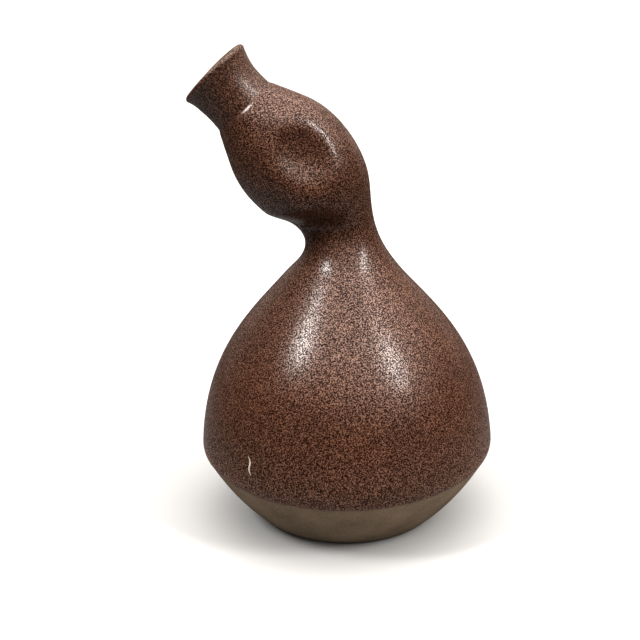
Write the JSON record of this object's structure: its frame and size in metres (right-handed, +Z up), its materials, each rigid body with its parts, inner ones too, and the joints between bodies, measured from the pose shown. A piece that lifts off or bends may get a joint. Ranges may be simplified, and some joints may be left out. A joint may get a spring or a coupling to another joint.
{
  "type": "duck vase",
  "caption": "Stoneware flower vase shaped as a duck looking up: round bare foot, glazed domed body, bent neck, egg-shaped head with thumb-dent eyes and a flared open beak as its mouth.",
  "frame": {"origin": "centre of the foot, on the surface that the vase stands on", "axes": "+Z up along the body's turning axis, -X toward the beak, Y across the head from eye to eye"},
  "size_m": [0.111, 0.1102, 0.1778],
  "materials": {
    "bare_stoneware": "bare fired clay, matt, with fine grog",
    "speckled_glaze": "reddish-brown satin glaze, finely speckled dark brown over tan",
    "luting_clay": "rolled fired clay, matt"
  },
  "bodies": {
    "root": {"foot_bowl": "bare_stoneware", "belly_dome": "speckled_glaze", "neck_collar": "speckled_glaze", "head_shell": "speckled_glaze", "beak_spout": "speckled_glaze", "belly_coil": "luting_clay", "neck_coil": "luting_clay", "head_coil": "luting_clay", "beak_coil": "luting_clay"}
  },
  "joints": []
}
